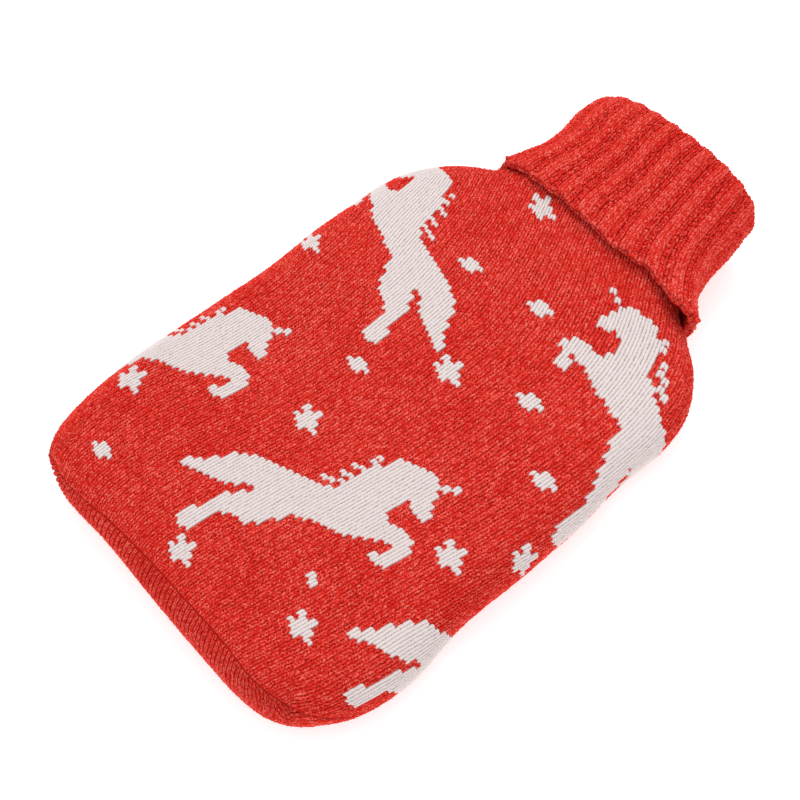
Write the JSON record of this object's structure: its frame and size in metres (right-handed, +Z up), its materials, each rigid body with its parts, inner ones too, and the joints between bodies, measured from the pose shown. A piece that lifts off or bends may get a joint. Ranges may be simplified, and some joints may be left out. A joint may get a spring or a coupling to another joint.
{
  "type": "hot water bottle cover",
  "caption": "Soft knitted sleeve for a rubber hot water bottle, with a ribbed roll-neck collar turned down round the bottle's neck, lying filled on its back.",
  "frame": {"origin": "middle of the cover's bounding box, on the surface that it lies on", "axes": "+Y along the cover from the closed base to the collar, +X across it, +Z up out of the patterned front"},
  "size_m": [0.2044, 0.3466, 0.0557],
  "materials": {
    "patterned_knit": "soft fuzzy yarn, two-colour stocking stitch",
    "plain_knit": "soft fuzzy yarn, plain stocking stitch",
    "ribbed_knit": "soft fuzzy yarn, two-by-two rib"
  },
  "bodies": {
    "root": {"front_panel": "patterned_knit", "back_panel": "plain_knit", "collar": "ribbed_knit"}
  },
  "joints": []
}
